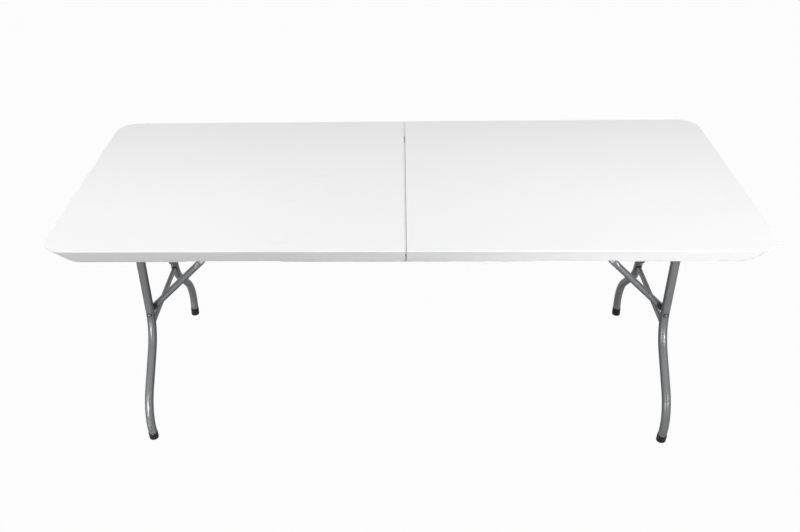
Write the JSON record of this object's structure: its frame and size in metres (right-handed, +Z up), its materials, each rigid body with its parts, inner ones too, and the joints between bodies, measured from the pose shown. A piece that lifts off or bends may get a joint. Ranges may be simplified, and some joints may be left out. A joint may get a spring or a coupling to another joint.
{
  "type": "folding table",
  "caption": "Fold-in-half table with a white moulded top, rounded corners, a centre seam, and folding grey wishbone tube legs with braces.",
  "frame": {"origin": "on the floor, under the middle of the open table", "axes": "+X along the table to its right end, -Y towards the front, +Z up"},
  "size_m": [1.83, 0.76, 0.72],
  "materials": {
    "top_plastic": "white blow-moulded plastic with a fine matt grain",
    "grey_steel": "satin grey powder coat",
    "black_plastic": "matt black moulded plastic",
    "zinc_steel": "bright zinc plate",
    "nylon": "natural nylon"
  },
  "bodies": {
    "left_half": {"left_top": "top_plastic", "left_front_rail": "grey_steel", "left_rear_rail": "grey_steel", "left_pivot_bushes": "nylon", "left_frame_screws": "zinc_steel", "left_front_brace_anchor": "grey_steel", "left_rear_brace_anchor": "grey_steel", "left_anchor_pins": "zinc_steel", "left_front_hinge_arm": "grey_steel", "left_rear_hinge_arm": "grey_steel", "front_hinge_pin": "zinc_steel", "rear_hinge_pin": "zinc_steel"},
    "right_half": {"right_top": "top_plastic", "right_front_rail": "grey_steel", "right_rear_rail": "grey_steel", "right_pivot_bushes": "nylon", "right_frame_screws": "zinc_steel", "right_front_brace_anchor": "grey_steel", "right_rear_brace_anchor": "grey_steel", "right_anchor_pins": "zinc_steel", "right_front_hinge_arm": "grey_steel", "right_rear_hinge_arm": "grey_steel", "handle_pin": "zinc_steel"},
    "left_leg_frame": {"left_pivot_tube": "grey_steel", "left_pivot_clips": "zinc_steel", "left_front_leg": "grey_steel", "left_rear_leg": "grey_steel", "left_crossbar": "grey_steel", "left_brace_bolts": "zinc_steel", "left_brace_spacers": "black_plastic", "left_front_foot": "black_plastic", "left_rear_foot": "black_plastic"},
    "left_brace_arm": {"left_front_brace_tube": "grey_steel", "left_rear_brace_tube": "grey_steel", "left_elbow_rivets": "zinc_steel"},
    "left_brace_strap": {"left_front_brace_link": "grey_steel", "left_rear_brace_link": "grey_steel", "left_elbow_rivet_tails": "zinc_steel"},
    "right_leg_frame": {"right_pivot_tube": "grey_steel", "right_pivot_clips": "zinc_steel", "right_front_leg": "grey_steel", "right_rear_leg": "grey_steel", "right_crossbar": "grey_steel", "right_brace_bolts": "zinc_steel", "right_brace_spacers": "black_plastic", "right_front_foot": "black_plastic", "right_rear_foot": "black_plastic"},
    "right_brace_arm": {"right_front_brace_tube": "grey_steel", "right_rear_brace_tube": "grey_steel", "right_elbow_rivets": "zinc_steel"},
    "right_brace_strap": {"right_front_brace_link": "grey_steel", "right_rear_brace_link": "grey_steel", "right_elbow_rivet_tails": "zinc_steel"},
    "carry_handle": {"carry_handle": "black_plastic"}
  },
  "joints": [
    {"name": "centre_fold", "type": "hinge", "parent": "left_half", "child": "right_half", "pos_m": [0, 0, 0.674], "axis": [0, 1, 0], "range_deg": [0, 90]},
    {"name": "left_leg_fold", "type": "hinge", "parent": "left_half", "child": "left_leg_frame", "pos_m": [-0.742, 0, 0.689], "axis": [0, -1, 0], "range_deg": [0, 91.85]},
    {"name": "left_brace_arm_turn", "type": "hinge", "parent": "left_leg_frame", "child": "left_brace_arm", "pos_m": [-0.75282, 0, 0.35402], "axis": [0, -1, 0], "range_deg": [0, 44]},
    {"name": "left_brace_strap_turn", "type": "hinge", "parent": "left_half", "child": "left_brace_strap", "pos_m": [-0.41085, 0, 0.689], "axis": [0, -1, 0], "range_deg": [-45, 0]},
    {"name": "right_leg_fold", "type": "hinge", "parent": "right_half", "child": "right_leg_frame", "pos_m": [0.742, 0, 0.689], "axis": [0, 1, 0], "range_deg": [0, 91.85]},
    {"name": "right_brace_arm_turn", "type": "hinge", "parent": "right_leg_frame", "child": "right_brace_arm", "pos_m": [0.75282, 0, 0.35402], "axis": [0, 1, 0], "range_deg": [0, 44]},
    {"name": "right_brace_strap_turn", "type": "hinge", "parent": "right_half", "child": "right_brace_strap", "pos_m": [0.41085, 0, 0.689], "axis": [0, 1, 0], "range_deg": [-45, 0]},
    {"name": "handle_swing", "type": "hinge", "parent": "right_half", "child": "carry_handle", "pos_m": [0.457, 0.357, 0.688], "axis": [1, 0, 0], "range_deg": [0, 90]}
  ],
  "couplings": [
    {"joint": "left_brace_arm_turn", "follows": "left_leg_fold", "ratio": 0.47623},
    {"joint": "left_brace_strap_turn", "follows": "left_leg_fold", "ratio": -0.48348},
    {"joint": "right_brace_arm_turn", "follows": "right_leg_fold", "ratio": 0.47623},
    {"joint": "right_brace_strap_turn", "follows": "right_leg_fold", "ratio": -0.48348}
  ]
}
